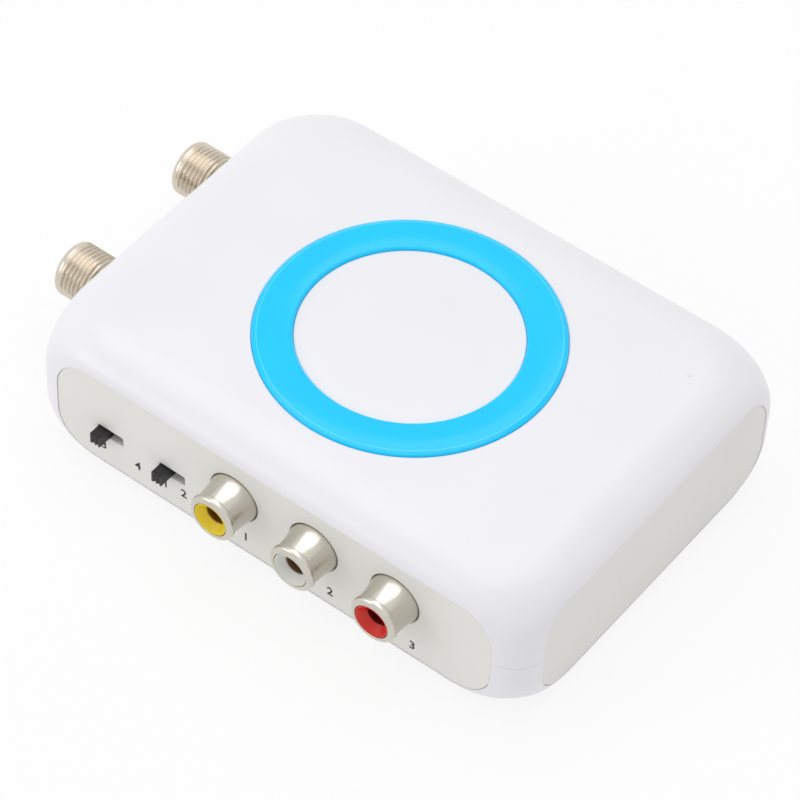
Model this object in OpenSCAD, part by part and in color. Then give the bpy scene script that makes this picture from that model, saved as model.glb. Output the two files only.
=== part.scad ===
// RF modulator: a white pillow-shaped box with three phono inputs, two slide switches,
// two threaded coax connectors and a light ring on its top. Millimetres.
// X runs along the front side, the front faces -Y, the coax end is -X, and z = 0 is the underside.

/* [Housing] */
// Width of the pillow form before its flats are cut
body_w = 102; // [94:1:116]
// Depth of the pillow form before its flats are cut
body_d = 75; // [72:1:88]
// Height of the housing
body_h = 26; // [25:0.5:31]
// Corner radius seen from above
corner_r = 17; // [15:0.5:19]
// Radius of the upper edge
top_r = 11; // [9:0.5:12]
// Radius of the lower edge
base_r = 9; // [7:0.5:10]
// Depth of the flats at the front and the rear
front_cut = 2.7; // [2:0.1:3.2]
// Depth of the flats at the two ends
end_cut = 3; // [2.2:0.1:3.5]
// Wall thickness of the shells
wall = 2; // [1.6:0.1:2.4]

/* [Side panels] */
// Rim of the shell left round each panel
panel_rim = 1.1; // [0.9:0.1:1.8]
// How far the panel's face lies below the flat
panel_recess = 0.4; // [0.2:0.1:0.7]
// Thickness of the shell's lip in front of the panel's flange
panel_lip = 1; // [0.8:0.1:1.3]
// Thickness of the panel's flange
panel_flange = 1.2; // [1:0.1:1.6]
// Width of the flange beyond the opening
flange_reach = 0.8; // [0.5:0.1:0.9]
// Corner radius of the panels
panel_r = 6.5; // [5.5:0.5:7]

/* [Light ring] */
// Outer radius of the ring
ring_outer_r = 24.5; // [22:0.5:27]
// Inner radius of the ring
ring_inner_r = 17.8; // [15:0.1:19]
// Depth of the ring's seat in the top
ring_seat = 1; // [0.7:0.1:1.2]
// Height of the ring above the top
ring_proud = 0.5; // [0.3:0.1:1]
// Rise of the domed disc inside the ring
dome_rise = 0.35; // [0.2:0.05:0.6]

/* [Phono jacks] */
// Height of the jack axis above the seam of the shells
jack_over_seam = 1; // [0.5:0.1:1.5]
// Height of the jack axis above the board
jack_rise = 6.2; // [6:0.1:7]
// Outer radius of the sleeve's rim
sleeve_r = 4.15; // [4:0.05:4.3]
// Wall of the sleeve
sleeve_wall = 0.35; // [0.3:0.05:0.5]
// Reach of the sleeve out of the panel's face
sleeve_reach = 5.7; // [5:0.1:8]
// Radius of the panel's hole round the sleeve
jack_hole_r = 4.6; // [4.5:0.05:4.9]
// Radius of the hole that takes the plug's pin
jack_pin_r = 1.6; // [1.55:0.05:1.7]

/* [Coax connectors] */
// Distance from the front end of the panel to the first connector
coax_near_inset = 15.84; // [14:0.02:18]
// Distance from the rear end of the panel to the second connector
coax_far_inset = 13.24; // [12.8:0.02:16]
// Height of the connector axis above the board
coax_rise = 5.7; // [5.6:0.1:6.5]
// Outer radius of the thread
coax_r = 4.7625; // [4.6:0.0125:4.9]
// Reach of the barrel out of the panel's face
coax_reach = 10; // [8:0.1:13]
// Radius of the hole that takes the cable's wire
coax_pin_r = 0.6; // [0.5:0.05:0.7]

/* [Slide switches] */
// Height of the knob's middle above the board
switch_rise = 2.5; // [2.4:0.1:3]
// Width of the knob
knob_w = 2.2; // [1.8:0.1:2.6]
// Height of the knob where it passes through the panel
knob_h = 1.6; // [1.4:0.1:1.8]
// Reach of the knob out of the panel's face
knob_reach = 2.3; // [1.8:0.1:4]
// Travel of the knob
knob_travel = 2.5; // [1.5:0.1:2.7]

/* [Power inlet] */
// Distance from the end of the rear panel to the inlet
inlet_inset = 20.1; // [19:0.1:26]
// Height of the inlet axis above the board
inlet_rise = 6; // [5.6:0.1:6.5]
// Radius of the socket
inlet_r = 3.15; // [3:0.05:3.3]
// Radius of the centre pin
inlet_pin_r = 1; // [0.9:0.05:1.25]

/* [Board] */
// Thickness of the circuit board
board_t = 1.6; // [1.2:0.2:2]
// Gap between the board and the panels
board_gap = 2.4; // [1.5:0.1:4]

/* [Hidden] */
$fn = 64;

// How far a cut runs past the face it opens
over = 0.5;
// Gap between pieces that are seated in each other
slip = 0.1;
// Gap round a piece that slides
run_gap = 0.15;

// The two shells meet at half the height
seam_z = body_h / 2;

// Flats: their distance from the middle, and how far they reach before the rounded form falls away
flat_x = body_w / 2 - end_cut;
flat_y = body_d / 2 - front_cut;
function half_chord(r, cut) = sqrt(r * r - (r - cut) * (r - cut));
flat_end_x = body_w / 2 - corner_r + half_chord(corner_r, front_cut);
flat_end_y = body_d / 2 - corner_r + half_chord(corner_r, end_cut);
function flat_top(cut) = body_h - top_r + half_chord(top_r, cut);
function flat_foot(cut) = base_r - half_chord(base_r, cut);

// Panels: half length, outer face, inner face, and the inside of the rib that backs them
long_half = flat_end_x - panel_rim;
end_half = flat_end_y - panel_rim;
panel_rib = 1;
panel_face_x = flat_x - panel_recess;
panel_face_y = flat_y - panel_recess;
panel_back_x = flat_x - panel_lip - slip - panel_flange;
panel_back_y = flat_y - panel_lip - slip - panel_flange;
cavity_x = panel_back_x - slip - panel_rib;
cavity_y = panel_back_y - slip - panel_rib;

// Heights of the board and of what stands on it
jack_z = seam_z + jack_over_seam;
board_top = jack_z - jack_rise;
board_z = board_top - board_t;
coax_z = board_top + coax_rise;
switch_z = board_top + switch_rise;
inlet_z = board_top + inlet_rise;
board_half_x = cavity_x - board_gap;
board_half_y = cavity_y - board_gap;

// Posts of the case screws, in the corners
post_r = 3.2;
post_clear = 0.6;
post_inset = 5.6;
post_x = cavity_x - post_inset;
post_y = cavity_y - post_inset;
post_hole_r = 1.5;
post_seat = 2.4;
post_seat_r = 2.8;
case_screw_r = 1.3;
case_head_r = 2.5;
case_head_h = 1.6;
case_screw_grip = 5;

// Pillars and screws of the board
pillar_r = 2.6;
pillar_inset = 9.2;
pillar_gap = 0.5;
board_screw_r = 1;
board_head_r = 2;
board_head_h = 1.4;
board_screw_grip = 3;
drive_w = 0.6;
drive_share = 0.6;
pillar_x = board_half_x - pillar_inset;

// Phono jacks
jack_flange_t = 0.35;
jack_flange_r = 5;
jack_block_w = 10;
jack_block_d = 9.4;
jack_block_above = 5;
jack_flange_u = panel_back_y - 2 * slip;
jack_block_u = jack_flange_u - jack_flange_t - slip;
jack_tip_u = panel_face_y + sleeve_reach;
jack_block_end = jack_block_u - jack_block_d;
rim_l = 1.25;
rim_w = 1.05;
rim_bead = 0.2;
rim_round = 0.5;
lip_round = 0.3;
rim_mouth_r = sleeve_r - rim_w;
tube_r = sleeve_r - rim_bead;
tube_bore_r = tube_r - sleeve_wall;
root_r = jack_hole_r - run_gap;
pillar_y = jack_block_end - pillar_gap - board_head_r;
contact_wall = 0.4;
contact_strip_w = 1.6;
contact_strip_t = 0.4;
funnel_depth = 1.5;
funnel_sink = 0.25;
pin_guide = 0.2;
pin_guide_l = 1.2;

// Coax connectors
coax_ys = [-(end_half - coax_near_inset), end_half - coax_far_inset];
coax_block = 2 * coax_rise;
coax_block_d = 8;
coax_block_u = panel_back_x - 2 * slip;
coax_tip_u = panel_face_x + coax_reach;
coax_thread_l = 8;
coax_neck_r = 4.2;
coax_round = 1.2;
coax_bore_r = 3.6;
coax_sink = 0.4;
coax_hole_gap = 0.45;
coax_contact_wall = 0.45;
coax_wire_l = 9;
coax_guide = 0.3;
coax_guide_l = 1;

// Slide switches
frame_half_x = 4.3;
frame_wall = 0.4;
frame_d = 4.2;
frame_front = panel_back_y - 2 * slip;
shoe_side = 0.8;
shoe_half_z = 1.7;
shoe_t = 1.4;
wiper_t = 0.3;
wiper_half_z = 1.4;
base_t = 1.7;
terminal_w = 0.5;
terminal_pitch = 2;
terminal_out = 0.8;
groove_depth = 0.28;
knob_swell = 0.25;
knob_draft = 0.15;

// Row along the front: two switches and three jacks between the corner posts, with the free room shared out
row_widths = [2 * frame_half_x, 2 * frame_half_x, jack_block_w, jack_block_w, jack_block_w];
row_shares = [0.005, 0.1535, 0.12, 0.2215, 0.2215];
row_half = post_x - post_r;
row_room = 2 * row_half - 4 * frame_half_x - 3 * jack_block_w;
function row_x(i) = row_shares[i] * row_room
    + (i == 0 ? row_widths[0] / 2 - row_half : row_x(i - 1) + (row_widths[i - 1] + row_widths[i]) / 2);
function switch_x(i) = row_x(i) - knob_travel / 2;
function jack_x(i) = row_x(i + 2);

// Power inlet
inlet_block_w = 9;
inlet_block_d = 13;
inlet_block_above = 4.6;
inlet_nose_wall = 0.8;
inlet_depth = 9.5;
inlet_pin_sink = 0.8;
inlet_pin_tail = 1;
inlet_block_u = panel_back_y - 2 * slip;
inlet_block_end = inlet_block_u - inlet_block_d;
inlet_x = long_half - inlet_inset;
inlet_spring_w = 2;
inlet_spring_t = 0.4;
inlet_spring_l = 6;
inlet_spring_bite = 0.25;

// Light ring and what lights it
ring_edge = 0.4;
slot_w = 3;
slot_angle = 56;
slot_count = 4;
ring_mid_r = (ring_outer_r + ring_inner_r) / 2;
led_r = 1.5;
led_h = 5.3;
led_flange_r = 1.9;
led_flange_h = 1;

// Screening can over the modulator circuit
can_gap = 1.6;
can_l = 24;
can_side_gap = 0.7;
can_h = 10;
can_wall = 0.4;
can_skirt = 2.5;
can_x = -(coax_block_u - coax_block_d - can_gap);
can_y = (coax_ys[0] + coax_ys[1]) / 2;
can_half_w = pillar_y - board_head_r - can_side_gap - can_y;
tune_hole_r = 1.6;

// Small parts on the board
cap_r = 4;
cap_h = 11.5;
cap_edge = 0.6;
cap_gap = 0.5;
cap_end_gap = 1;
cap_x = pillar_x - board_head_r - cap_gap - cap_r;
cap_y = (inlet_block_end - jack_block_end) / 2;
cap_pitch = (inlet_block_end + jack_block_end) / 2 - cap_end_gap - cap_r;
reg_w = 6.6;
reg_l = 6;
reg_h = 2.3;
reg_tab = 1.1;
reg_tab_t = 0.6;
reg_leg = 0.8;
chip_w = 4;
chip_l = 10;
chip_h = 1.5;
chip_leg = 0.4;
chip_pins = 8;
chip_pitch = 1.27;
coil_w = 6;
coil_h = 7.5;
coil_slug_r = 1.2;
coil_slug_sink = 0.8;
coil_pitch = 12;
crystal_w = 4.6;
crystal_l = 11;
crystal_h = 3.5;
crystal_rim = 0.4;

// A block between two heights with its middle over x, y
module block(x, y, z0, z1, w, d) {
    translate([x - w / 2, y - d / 2, z0]) cube([w, d, z1 - z0]);
}

// A revolved profile whose axis points out of the front, the coax end or the rear
module toward_front(x, z) {
    translate([x, 0, z]) rotate([90, 0, 0]) children();
}
module toward_coax_end(y, z) {
    translate([0, y, z]) rotate([0, -90, 0]) children();
}
module toward_rear(x, z) {
    translate([x, 0, z]) rotate([-90, 0, 0]) children();
}

// A round bar, or a hole, between two distances along such an axis
module bar(u0, u1, r) {
    translate([0, 0, u0]) cylinder(h = u1 - u0, r = r);
}

// Half section of the pillow form: straight side, with a rounded upper and lower edge
module edge_section(r, h, rt, rb) {
    intersection() {
        square([r, h]);
        union() {
            square([r - rt, h]);
            square([r - rb, h - rt]);
            translate([0, rb]) square([r, h - rt - rb]);
            translate([r - rt, h - rt]) circle(rt);
            translate([r - rb, rb]) circle(rb);
        }
    }
}

// The pillow form: four quarter-turned corners joined by straight runs of the same section
module pillow(w, d, h, r, rt, rb) {
    core_w = w - 2 * r;
    core_d = d - 2 * r;
    block(0, 0, 0, h, core_w, core_d);
    for (sx = [0, 1], sy = [0, 1]) mirror([sx, 0, 0]) mirror([0, sy, 0])
        translate([core_w / 2, core_d / 2, 0]) rotate_extrude(angle = 90) edge_section(r, h, rt, rb);
    for (s = [0, 1]) mirror([0, s, 0]) translate([-core_w / 2, core_d / 2, 0])
        rotate([90, 0, 90]) linear_extrude(core_w) edge_section(r, h, rt, rb);
    for (s = [0, 1]) mirror([s, 0, 0]) translate([core_w / 2, core_d / 2, 0])
        rotate([90, 0, 0]) linear_extrude(core_d) edge_section(r, h, rt, rb);
}

// The outside of the housing, with its four flats
module outside() {
    intersection() {
        pillow(body_w, body_d, body_h, corner_r, top_r, base_r);
        block(0, 0, -over, body_h + over, 2 * flat_x, 2 * flat_y);
    }
}

// The room inside the housing
module inside() {
    intersection() {
        translate([0, 0, wall])
            pillow(body_w - 2 * wall, body_d - 2 * wall, body_h - 2 * wall,
                corner_r - wall, top_r - wall, base_r - wall);
        block(0, 0, 0, body_h, 2 * cavity_x, 2 * cavity_y);
    }
}

// Outline of a panel, seen from outside
module panel_outline(half, z0, z1, grow) {
    r = panel_r + grow;
    x = half + grow - r;
    low = z0 - grow + r;
    high = z1 + grow - r;
    translate([-x - r, low]) square([2 * (x + r), high - low]);
    translate([-x, low - r]) square([2 * x, high - low + 2 * r]);
    for (cx = [-x, x], cz = [low, high]) translate([cx, cz]) circle(r);
}

// A slab of that outline between two distances from the middle, facing the front
module panel_slab(half, cut, near, far, grow) {
    foot = flat_foot(cut) + panel_rim / 2;
    head = flat_top(cut) - panel_rim / 2;
    translate([0, -near, 0]) rotate([90, 0, 0]) linear_extrude(far - near)
        panel_outline(half, foot, head, grow);
}
module long_panel() {
    panel_slab(long_half, front_cut, panel_back_y, panel_face_y, -slip);
    panel_slab(long_half, front_cut, panel_back_y, panel_back_y + panel_flange, flange_reach);
}
module end_panel() {
    panel_slab(end_half, end_cut, panel_back_x, panel_face_x, -slip);
    panel_slab(end_half, end_cut, panel_back_x, panel_back_x + panel_flange, flange_reach);
}

// Openings of the shells for the four panels, each with a groove for the panel's flange
module panel_openings() {
    for (a = [0, 180]) rotate([0, 0, a]) {
        panel_slab(long_half, front_cut, cavity_y - over, flat_y + over, 0);
        panel_slab(long_half, front_cut, panel_back_y - slip, flat_y - panel_lip, flange_reach + slip);
    }
    for (a = [90, 270]) rotate([0, 0, a]) {
        panel_slab(end_half, end_cut, cavity_x - over, flat_x + over, 0);
        panel_slab(end_half, end_cut, panel_back_x - slip, flat_x - panel_lip, flange_reach + slip);
    }
}

// The four posts of the case screws and the four pillars of the board, each drawn for the +X +Y corner
module at_corners(x, y) {
    for (sx = [0, 1], sy = [0, 1]) mirror([sx, 0, 0]) mirror([0, sy, 0]) translate([x, y, 0]) children();
}
module at_posts() {
    at_corners(post_x, post_y) children();
}
module at_pillars() {
    at_corners(pillar_x, pillar_y) children();
}

// Arcs that let the light through under the ring, or the tongues that stand in them
module light_arcs(z0, z1, gap) {
    shrink = asin(gap / ring_mid_r);
    for (i = [0 : slot_count - 1])
        rotate([0, 0, i * 360 / slot_count + shrink - slot_angle / 2])
            rotate_extrude(angle = slot_angle - 2 * shrink)
                translate([ring_mid_r - slot_w / 2 + gap, z0]) square([slot_w - 2 * gap, z1 - z0]);
}

// Upper housing
module top_shell() {
    screw_top = seam_z + case_screw_grip;
    color("white") union() {
        difference() {
            intersection() {
                outside();
                block(0, 0, seam_z, body_h + over, body_w, body_d);
            }
            difference() {
                inside();
                at_posts() bar(0, body_h, post_r);
            }
            panel_openings();
            at_posts() bar(seam_z - over, screw_top + slip, case_screw_r + slip / 2);
            difference() {
                bar(body_h - ring_seat, body_h + over, ring_outer_r + slip);
                bar(0, body_h + over, ring_inner_r - slip);
            }
            light_arcs(body_h - wall - over, body_h, 0);
        }
        dome_r = (ring_inner_r * ring_inner_r + dome_rise * dome_rise) / (2 * dome_rise);
        intersection() {
            translate([0, 0, body_h + dome_rise - dome_r]) sphere(dome_r, $fn = 256);
            bar(body_h - wall, body_h + dome_rise + over, ring_inner_r - slip);
        }
    }
}

// Lower housing
module bottom_shell() {
    color("white") difference() {
        intersection() {
            outside();
            block(0, 0, -over, seam_z, body_w, body_d);
        }
        difference() {
            inside();
            at_posts() bar(0, seam_z, post_r);
            at_pillars() bar(0, board_z, pillar_r);
        }
        panel_openings();
        at_posts() bar(-over, seam_z + over, post_hole_r);
        at_posts() bar(-over, post_seat, post_seat_r);
        at_pillars() bar(board_z - board_screw_grip - slip, board_z + over, board_screw_r + slip / 2);
    }
}

// Panels
module front_panel() {
    slot_w = knob_w + knob_travel + 2 * run_gap;
    color("gainsboro") difference() {
        long_panel();
        for (i = [0 : 2]) toward_front(jack_x(i), jack_z)
            bar(panel_back_y - over, panel_face_y + over, jack_hole_r);
        for (i = [0, 1]) block(row_x(i), -panel_face_y, switch_z - knob_h / 2 - run_gap,
            switch_z + knob_h / 2 + run_gap, slot_w, body_d - 2 * panel_back_y);
    }
}
module right_panel() {
    color("lightgray") rotate([0, 0, 90]) end_panel();
}
module rear_panel() {
    color("gainsboro") difference() {
        rotate([0, 0, 180]) long_panel();
        toward_rear(inlet_x, inlet_z)
            bar(panel_back_y - over, panel_face_y + over, inlet_r + inlet_nose_wall + slip);
    }
}
module left_panel() {
    color("gainsboro") difference() {
        rotate([0, 0, -90]) end_panel();
        for (i = [0, 1]) toward_coax_end(coax_ys[i], coax_z)
            bar(panel_back_x - over, panel_face_x + over, coax_r + coax_hole_gap);
    }
}

// Translucent ring, with tongues that reach down through the light arcs
module light_ring() {
    ring_w = ring_outer_r - ring_inner_r;
    ring_h = ring_seat + ring_proud;
    color("deepskyblue") union() {
        translate([0, 0, body_h - ring_seat]) rotate_extrude() translate([ring_inner_r, 0]) {
            square([ring_w, ring_h - ring_edge]);
            translate([ring_edge, 0]) square([ring_w - 2 * ring_edge, ring_h]);
            translate([ring_edge, ring_h - ring_edge]) circle(ring_edge);
            translate([ring_w - ring_edge, ring_h - ring_edge]) circle(ring_edge);
        }
        light_arcs(body_h - wall - slip, body_h - ring_seat + slip, slip);
    }
}

// Circuit board, cut back round the posts
module circuit_board() {
    color("seagreen") translate([0, 0, board_z]) linear_extrude(board_t) difference() {
        square([2 * board_half_x, 2 * board_half_y], center = true);
        at_posts() {
            circle(post_r + post_clear);
            translate([0, -post_r - post_clear]) square([post_inset, post_r + post_clear + post_inset]);
            translate([-post_r - post_clear, 0]) square([post_r + post_clear + post_inset, post_inset]);
        }
        at_pillars() circle(board_screw_r + slip);
    }
}

// Screening can: four walls on the board, and a lid whose skirt grips them
module shield_can() {
    color("silver") translate([can_x + can_l / 2, can_y, board_top]) linear_extrude(can_h) difference() {
        square([can_l, 2 * can_half_w], center = true);
        square([can_l - 2 * can_wall, 2 * (can_half_w - can_wall)], center = true);
    }
}
module shield_lid() {
    lid_l = can_l + 2 * (can_wall + slip);
    lid_w = 2 * (can_half_w + can_wall + slip);
    top = board_top + can_h;
    color("silver") difference() {
        block(can_x + can_l / 2, can_y, top - can_skirt, top + can_wall, lid_l, lid_w);
        block(can_x + can_l / 2, can_y, top - can_skirt - over, top,
            lid_l - 2 * can_wall, lid_w - 2 * can_wall);
        for (i = [-1, 1]) translate([can_x + can_l / 2, can_y + i * coil_pitch / 2, 0])
            bar(top - over, top + can_wall + over, tune_hole_r);
    }
}

// Nickel-plated phono sleeve: a tube that flares to the panel's hole, with a rolled rim in front and
// a flange with a leg behind
module jack_sleeve(i) {
    foot_u = jack_flange_u - jack_flange_t;
    rim_u = jack_tip_u - rim_l;
    flare_l = rim_u - panel_face_y;
    flare_w = root_r - tube_r;
    flare_arc_r = (flare_l * flare_l + flare_w * flare_w) / (2 * flare_w);
    color("silver") union() {
        toward_front(jack_x(i), jack_z) rotate_extrude() {
            difference() {
                translate([tube_bore_r, foot_u]) square([root_r - tube_bore_r, rim_u + rim_l / 2 - foot_u]);
                translate([tube_r + flare_arc_r, rim_u]) circle(flare_arc_r, $fn = 512);
                translate([tube_r, rim_u]) square([root_r, rim_l]);
            }
            translate([tube_bore_r, foot_u]) square([jack_flange_r - tube_bore_r, jack_flange_t]);
            translate([rim_mouth_r, rim_u]) {
                square([rim_w, rim_l - rim_round]);
                square([rim_w - rim_round, rim_l - lip_round]);
                translate([lip_round, 0]) square([rim_w - rim_round - lip_round, rim_l]);
                translate([rim_w - rim_round, rim_l - rim_round]) circle(rim_round);
                translate([lip_round, rim_l - lip_round]) circle(lip_round);
            }
        }
        block(jack_x(i), -foot_u - jack_flange_t / 2, board_top,
            jack_z - (jack_flange_r + sleeve_r) / 2, jack_flange_r, jack_flange_t);
    }
}

// Coloured moulding of a phono jack: a block on the board, with a tube in the sleeve and a funnel
// in its face
module jack_body(i, tint) {
    nose_u = jack_tip_u - funnel_sink;
    hold_r = jack_pin_r + contact_wall + slip / 2;
    color(tint) difference() {
        union() {
            block(jack_x(i), -(jack_block_u + jack_block_end) / 2, board_top, jack_z + jack_block_above,
                jack_block_w, jack_block_d);
            toward_front(jack_x(i), jack_z) {
                bar(jack_block_u - over, jack_tip_u - rim_l - slip, tube_bore_r - slip);
                bar(jack_block_u, nose_u, rim_mouth_r - slip);
            }
        }
        toward_front(jack_x(i), jack_z) {
            bar(jack_block_end - over, nose_u - funnel_depth - pin_guide_l, hold_r);
            bar(jack_block_u, nose_u, jack_pin_r + pin_guide);
            translate([0, 0, nose_u - funnel_depth])
                cylinder(h = funnel_depth, r1 = jack_pin_r + pin_guide, r2 = rim_mouth_r - 3 * slip);
        }
    }
}

// Centre contact of a phono jack: a tube for the plug's pin, and a strip down to the board
module jack_contact(i) {
    front_u = jack_tip_u - funnel_sink - funnel_depth - pin_guide_l - slip;
    color("gold") difference() {
        union() {
            toward_front(jack_x(i), jack_z)
                bar(jack_block_end - contact_strip_t, front_u, jack_pin_r + contact_wall);
            block(jack_x(i), -(jack_block_end - contact_strip_t / 2), board_top, jack_z,
                contact_strip_w, contact_strip_t);
        }
        toward_front(jack_x(i), jack_z) bar(jack_block_end, front_u + over, jack_pin_r);
    }
}

// Coax barrel: threaded nose, plain neck, and a square foot that stands on the board behind the panel
module coax_barrel(i) {
    y = coax_ys[i];
    color("silver") difference() {
        union() {
            toward_coax_end(y, coax_z) rotate_extrude() {
                translate([0, coax_block_u - over])
                    square([coax_neck_r, coax_tip_u - coax_block_u + over - coax_round]);
                translate([0, coax_tip_u - coax_thread_l]) {
                    square([coax_r, coax_thread_l - coax_round]);
                    square([coax_r - coax_round, coax_thread_l]);
                }
                translate([coax_r - coax_round, coax_tip_u - coax_round]) circle(coax_round);
            }
            block(-(coax_block_u - coax_block_d / 2), y, board_top, coax_z + coax_rise,
                coax_block_d, coax_block);
        }
        toward_coax_end(y, coax_z) bar(coax_block_u - coax_block_d - over, coax_tip_u + over, coax_bore_r);
    }
}
module coax_insulator(i) {
    front_u = coax_tip_u - coax_sink;
    hold_r = coax_pin_r + coax_contact_wall + slip / 2;
    color("ivory") toward_coax_end(coax_ys[i], coax_z) difference() {
        bar(coax_block_u - coax_block_d, front_u, coax_bore_r - slip / 2);
        bar(coax_block_u - coax_block_d - over, front_u - coax_guide_l, hold_r);
        bar(front_u - coax_guide_l - over, front_u + over, coax_pin_r + coax_guide);
    }
}
module coax_contact(i) {
    y = coax_ys[i];
    front_u = coax_tip_u - coax_sink - coax_guide_l - slip;
    back_u = coax_block_u - coax_block_d;
    color("gold") difference() {
        union() {
            toward_coax_end(y, coax_z)
                bar(back_u - contact_strip_t, front_u, coax_pin_r + coax_contact_wall);
            block(-(back_u - contact_strip_t / 2), y, board_top, coax_z,
                contact_strip_t, contact_strip_w);
        }
        toward_coax_end(y, coax_z) bar(front_u - coax_wire_l, front_u + over, coax_pin_r);
    }
}

// Slide switch knob: a grooved finger that swells towards its tip, on a wide shoe that runs in the frame
module switch_knob(i) {
    shoe_back = frame_front - frame_wall - slip - shoe_t;
    tip = panel_face_y + knob_reach;
    neck = panel_face_y + slip;
    shoe_half = knob_w / 2 + shoe_side;
    tip_half = knob_w / 2 - knob_draft;
    color([0.08, 0.08, 0.08]) translate([switch_x(i), 0, switch_z]) difference() {
        intersection() {
            union() {
                block(0, -(shoe_back + tip) / 2, -knob_h / 2, knob_h / 2, knob_w, tip - shoe_back);
                block(0, -(shoe_back + shoe_t / 2), -shoe_half_z, shoe_half_z, 2 * shoe_half, shoe_t);
                rotate([90, 0, 90]) translate([0, 0, -knob_w / 2]) linear_extrude(knob_w)
                    polygon([[-neck, -knob_h / 2], [-neck, knob_h / 2],
                        [-tip, knob_h / 2 + knob_swell], [-tip, -knob_h / 2 - knob_swell]]);
            }
            linear_extrude(2 * body_h, center = true)
                polygon([[-shoe_half, -shoe_back], [shoe_half, -shoe_back], [shoe_half, -neck],
                    [knob_w / 2, -neck], [tip_half, -tip], [-tip_half, -tip],
                    [-knob_w / 2, -neck], [-shoe_half, -neck]]);
        }
        for (k = [-1, 1]) translate([k * knob_w / 6, -tip, 0])
            linear_extrude(body_h, center = true) circle(groove_depth, $fn = 4);
    }
}
module switch_wiper(i) {
    front = frame_front - frame_wall - slip - shoe_t;
    color("gold") block(switch_x(i), -(front - wiper_t / 2), switch_z - wiper_half_z,
        switch_z + wiper_half_z, knob_w, wiper_t);
}
module switch_frame(i) {
    top = board_top + 2 * switch_rise;
    color("silver") difference() {
        block(row_x(i), -(frame_front - frame_d / 2), board_top, top, 2 * frame_half_x, frame_d);
        block(row_x(i), -(frame_front - frame_wall - frame_d / 2), board_top + frame_wall,
            top - frame_wall, 2 * (frame_half_x - frame_wall), frame_d);
        block(row_x(i), -frame_front, switch_z - knob_h / 2 - run_gap, switch_z + knob_h / 2 + run_gap,
            knob_w + knob_travel + 2 * run_gap, 3 * frame_wall);
    }
}
module switch_base(i) {
    low = board_top + frame_wall + slip / 2;
    back = frame_front - frame_d;
    color("saddlebrown") block(row_x(i), -(back + base_t / 2), low, 2 * switch_z - low,
        2 * (frame_half_x - frame_wall) - slip, base_t);
}
module switch_terminals() {
    back = frame_front - frame_d;
    color("gainsboro") for (i = [0, 1], k = [-1, 0, 1]) {
        x = row_x(i) + k * terminal_pitch;
        block(x, -(back - terminal_out / 2), switch_z - terminal_w / 2, switch_z + terminal_w / 2,
            terminal_w, terminal_out);
        block(x, -(back - terminal_out + terminal_w / 2), board_top, switch_z + terminal_w / 2,
            terminal_w, terminal_w);
    }
}

// Power inlet: a block with a round nose in the panel's hole, a pin in its socket and a spring under it
module power_jack_body() {
    color([0.12, 0.12, 0.13]) difference() {
        union() {
            block(inlet_x, inlet_block_u - inlet_block_d / 2, board_top, inlet_z + inlet_block_above,
                inlet_block_w, inlet_block_d);
            toward_rear(inlet_x, inlet_z) bar(inlet_block_u - over, panel_face_y, inlet_r + inlet_nose_wall);
        }
        toward_rear(inlet_x, inlet_z) {
            bar(panel_face_y - inlet_depth, panel_face_y + over, inlet_r);
            bar(inlet_block_end - over, panel_face_y, inlet_pin_r + slip / 2);
        }
        block(inlet_x, panel_face_y - inlet_depth + inlet_spring_l / 2, board_top - over, inlet_z,
            inlet_spring_w + 2 * slip, inlet_spring_l + 2 * slip);
    }
}
module power_jack_pin() {
    tail = inlet_block_end - inlet_pin_tail;
    color("silver") union() {
        toward_rear(inlet_x, inlet_z) bar(tail, panel_face_y - inlet_pin_sink, inlet_pin_r);
        block(inlet_x, (inlet_block_end + tail) / 2, board_top, inlet_z,
            contact_strip_w, inlet_pin_tail - 2 * slip);
    }
}
module power_jack_spring() {
    low = inlet_z - inlet_r + inlet_spring_bite - inlet_spring_t;
    y0 = panel_face_y - inlet_depth;
    color("silver") union() {
        block(inlet_x, y0 + inlet_spring_l / 2, low, low + inlet_spring_t,
            inlet_spring_w, inlet_spring_l);
        block(inlet_x, y0 + inlet_spring_t / 2, board_top, low + inlet_spring_t,
            inlet_spring_w, inlet_spring_t);
    }
}

// Lamps under the ring, in the gaps between the capacitors
module ring_leds() {
    color("powderblue") for (k = [-1, 1])
        rotate([0, 0, asin((cap_y + k * cap_pitch / 2) / ring_mid_r)])
            translate([ring_mid_r, 0, board_top]) rotate_extrude() {
                square([led_flange_r, led_flange_h]);
                square([led_r, led_h - led_r]);
                intersection() {
                    translate([0, led_h - led_r]) circle(led_r);
                    square([led_r, led_h]);
                }
            }
}

// Small parts on the board
module filter_capacitors() {
    color("midnightblue") for (k = [-1, 0, 1])
        translate([cap_x, cap_y + k * cap_pitch, board_top]) rotate_extrude() {
            square([cap_r, cap_h - cap_edge]);
            square([cap_r - cap_edge, cap_h]);
            translate([cap_r - cap_edge, cap_h - cap_edge]) circle(cap_edge);
        }
}
module voltage_regulator() {
    x = board_half_x - reg_l / 2 - reg_tab;
    color("dimgray") union() {
        block(x, 0, board_top, board_top + reg_h, reg_l, reg_w);
        block(x + (reg_l + reg_tab) / 2, 0, board_top, board_top + reg_tab_t, reg_tab, reg_w - reg_leg);
        for (k = [-1, 1])
            block(x - (reg_l + reg_tab) / 2, k * (reg_w / 2 - reg_leg), board_top,
                board_top + reg_tab_t, reg_tab, reg_leg);
    }
}
module modulator_chip() {
    x = can_x + can_wall + chip_w;
    color([0.1, 0.1, 0.1]) union() {
        block(x, can_y, board_top + chip_leg / 2, board_top + chip_h, chip_w, chip_l);
        for (k = [0 : chip_pins - 1])
            block(x, can_y + (k - (chip_pins - 1) / 2) * chip_pitch, board_top, board_top + chip_h / 2,
                chip_w + 4 * chip_leg, chip_leg);
    }
}
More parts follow.
